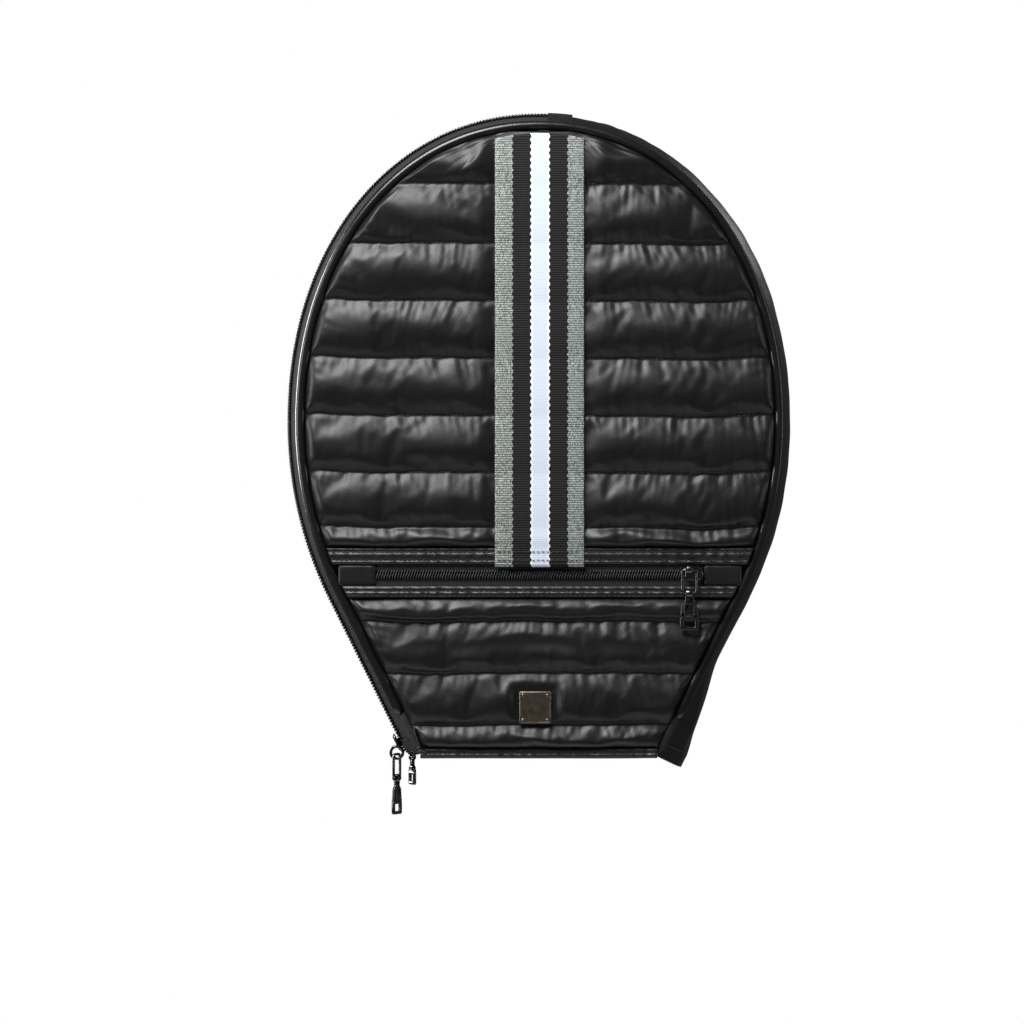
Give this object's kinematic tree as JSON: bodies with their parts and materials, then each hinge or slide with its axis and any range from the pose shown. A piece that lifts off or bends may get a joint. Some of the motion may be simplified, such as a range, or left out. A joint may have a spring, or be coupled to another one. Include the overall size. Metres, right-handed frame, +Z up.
{
  "type": "racket backpack",
  "caption": "Padded racket-head backpack with a zipped fold-open front, quilted panels, zipped front pocket, woven stripe, riveted badge and two shoulder straps.",
  "frame": {"origin": "where a hook bears, under the crown of the hang loop at the top of the back", "axes": "+Z up, -Y the quilted front, +X towards the side without the cover zip"},
  "size_m": [0.3235, 0.1094, 0.4522],
  "materials": {
    "nylon": "glossy black woven nylon, quilted",
    "piping": "black coated piping, semi-gloss",
    "zip": "black coil on woven tape",
    "stripe": "ribbed woven stripe, white between black and silver grey bands",
    "lining": "plain dark grey woven lining",
    "webbing": "black ribbed webbing",
    "gunmetal": "polished dark nickel",
    "bronze": "brown gunmetal, satin"
  },
  "bodies": {
    "shell": {"quilt_upper_fixed": "nylon", "quilt_lower_fixed": "nylon", "front_lining_fixed": "lining", "stripe_fixed": "stripe", "pocket_welt_upper_fixed": "nylon", "pocket_welt_lower_fixed": "nylon", "pocket_zip_upper_fixed": "zip", "pocket_zip_lower_fixed": "zip", "pocket_end_tab_right": "nylon", "pocket_bag_fixed": "lining", "front_piping_fixed": "piping", "back_piping": "piping", "side_gusset": "nylon", "left_gusset": "nylon", "cover_zip_back": "zip", "gusset_hem_right": "nylon", "gusset_hem_left": "nylon", "zip_top_patch": "nylon", "cover_end_ring": "gunmetal", "back_panel": "nylon", "back_lining": "lining", "back_hem": "nylon", "strap_yoke": "nylon", "hang_loop": "webbing", "shoulder_pad_left": "nylon", "shoulder_pad_right": "nylon", "strap_webbing_left": "webbing", "strap_webbing_right": "webbing", "strap_ring_left": "gunmetal", "strap_ring_right": "gunmetal", "strap_anchor_left": "webbing", "strap_anchor_right": "webbing"},
    "flap": {"quilt_upper_flap": "nylon", "quilt_lower_flap": "nylon", "front_lining_flap": "lining", "front_hem": "nylon", "stripe_flap": "stripe", "pocket_welt_upper_flap": "nylon", "pocket_welt_lower_flap": "nylon", "pocket_zip_upper_flap": "zip", "pocket_zip_lower_flap": "zip", "pocket_end_tab_left": "nylon", "pocket_bag_flap": "lining", "badge_plate": "bronze", "badge_rivet_1": "bronze", "badge_rivet_2": "bronze", "badge_rivet_3": "bronze", "badge_rivet_4": "bronze", "front_piping_flap": "piping", "cover_zip_front": "zip"},
    "pocket_slider": {"pocket_slider": "gunmetal"},
    "pocket_bail": {"pocket_bail": "gunmetal"},
    "pocket_tab": {"pocket_tab": "gunmetal"},
    "cover_slider": {"cover_slider": "gunmetal"},
    "cover_bail": {"cover_bail": "gunmetal"},
    "cover_tab": {"cover_tab": "gunmetal"},
    "end_bail": {"end_bail": "gunmetal"},
    "end_tab": {"end_tab": "gunmetal"},
    "strap_slide_left": {"strap_slide_left": "gunmetal"},
    "strap_slide_right": {"strap_slide_right": "gunmetal"}
  },
  "joints": [
    {"name": "flap_open", "type": "hinge", "parent": "shell", "child": "flap", "pos_m": [0.073, -0.0955, -0.3997], "axis": [-0.1691, 0, 0.9856], "range_deg": [0, 75]},
    {"name": "pocket_slide", "type": "slide", "parent": "shell", "child": "pocket_slider", "axis": [1, 0, 0], "range_m": [-0.194, 0]},
    {"name": "pocket_bail_swing", "type": "hinge", "parent": "pocket_slider", "child": "pocket_bail", "pos_m": [0.0956, -0.0969, -0.2784], "axis": [-1, 0, 0], "range_deg": [0, 110]},
    {"name": "pocket_tab_swing", "type": "hinge", "parent": "pocket_bail", "child": "pocket_tab", "pos_m": [0.0956, -0.0969, -0.2936], "axis": [-1, 0, 0], "range_deg": [0, 60]},
    {"name": "cover_slide", "type": "slide", "parent": "shell", "child": "cover_slider", "axis": [-0.4472, 0, 0.8944], "range_m": [0, 0.09]},
    {"name": "cover_bail_swing", "type": "hinge", "parent": "cover_slider", "child": "cover_bail", "pos_m": [-0.09215, -0.071, -0.39767], "axis": [0.4226, 0.9063, 0], "range_deg": [0, 100]},
    {"name": "cover_tab_swing", "type": "hinge", "parent": "cover_bail", "child": "cover_tab", "pos_m": [-0.09215, -0.071, -0.41287], "axis": [0.4226, 0.9063, 0], "range_deg": [-10, 80]},
    {"name": "end_bail_swing", "type": "hinge", "parent": "shell", "child": "end_bail", "pos_m": [-0.08235, -0.0614, -0.39098], "axis": [0.309, -0.9511, 0], "range_deg": [0, 60]},
    {"name": "end_tab_swing", "type": "hinge", "parent": "end_bail", "child": "end_tab", "pos_m": [-0.08235, -0.0614, -0.39998], "axis": [0.309, -0.9511, 0], "range_deg": [-10, 80]},
    {"name": "strap_slide_left", "type": "slide", "parent": "shell", "child": "strap_slide_left", "axis": [0.069, 0.1514, 0.9861], "range_m": [-0.022, 0.022]},
    {"name": "strap_slide_right", "type": "slide", "parent": "shell", "child": "strap_slide_right", "axis": [-0.069, 0.1514, 0.9861], "range_m": [-0.022, 0.022]}
  ]
}
